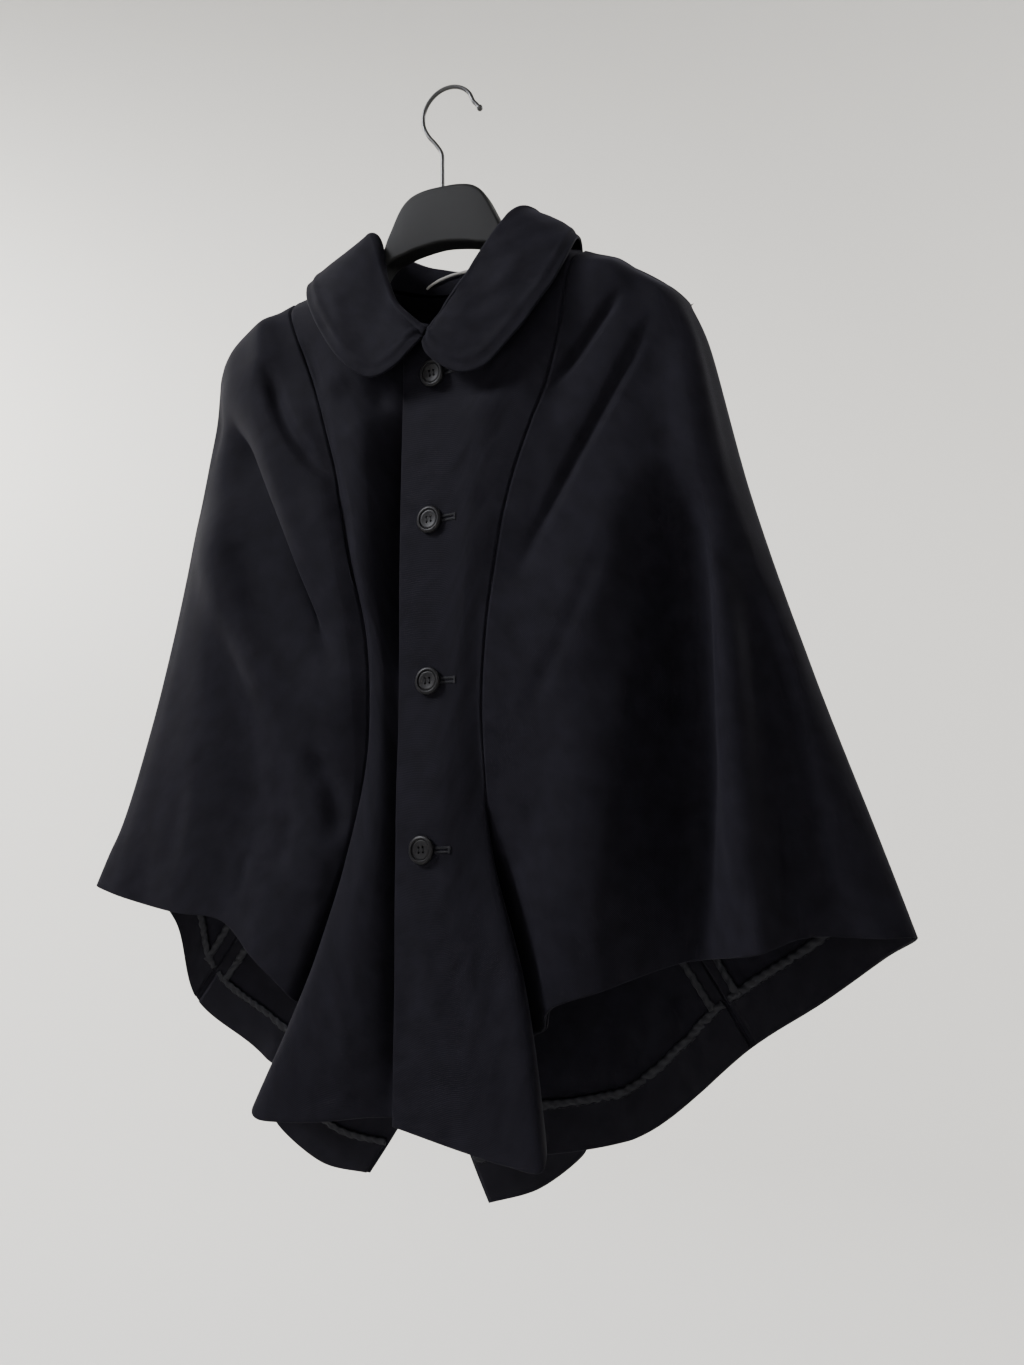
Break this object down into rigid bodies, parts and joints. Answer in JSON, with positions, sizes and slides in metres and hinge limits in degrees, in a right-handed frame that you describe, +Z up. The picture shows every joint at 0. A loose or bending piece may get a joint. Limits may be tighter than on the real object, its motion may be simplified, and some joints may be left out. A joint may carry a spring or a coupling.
{
  "type": "cape coat on a hanger",
  "caption": "Round-collared cape coat of black wool, buttoned at the front with flared cape sides and a vented back, hung on a broad hanger.",
  "frame": {"origin": "inner top of the hanger's hook, where a rail or a wall hook carries it", "axes": "+Z up, +Y towards the back of the coat, +X to the viewer's right, which is the wearer's left"},
  "size_m": [0.689, 0.1807, 0.9425],
  "materials": {
    "wool": "fine wool twill with a short nap",
    "wool_hem": "turned-up hem of the same wool, bound along its top edge",
    "button": "dark horn-like resin, softly polished",
    "tape": "narrow satin tape",
    "hanger_plastic": "moulded, fine matt grain",
    "hanger_wire": "black coated steel wire"
  },
  "bodies": {
    "root": {"front_left": "wool", "front_right": "wool", "cape_front_left": "wool", "cape_front_right": "wool", "cape_back_left": "wool", "cape_back_right": "wool", "back_left": "wool", "back_right": "wool", "collar": "wool", "turned_hem_cape_back_left": "wool_hem", "turned_hem_cape_back_right": "wool_hem", "turned_hem_back_left": "wool_hem", "turned_hem_back_right": "wool_hem", "button_1": "button", "button_2": "button", "button_3": "button", "button_4": "button", "neck_loop": "tape", "hanger_body": "hanger_plastic", "hanger_hook": "hanger_wire"}
  },
  "joints": []
}
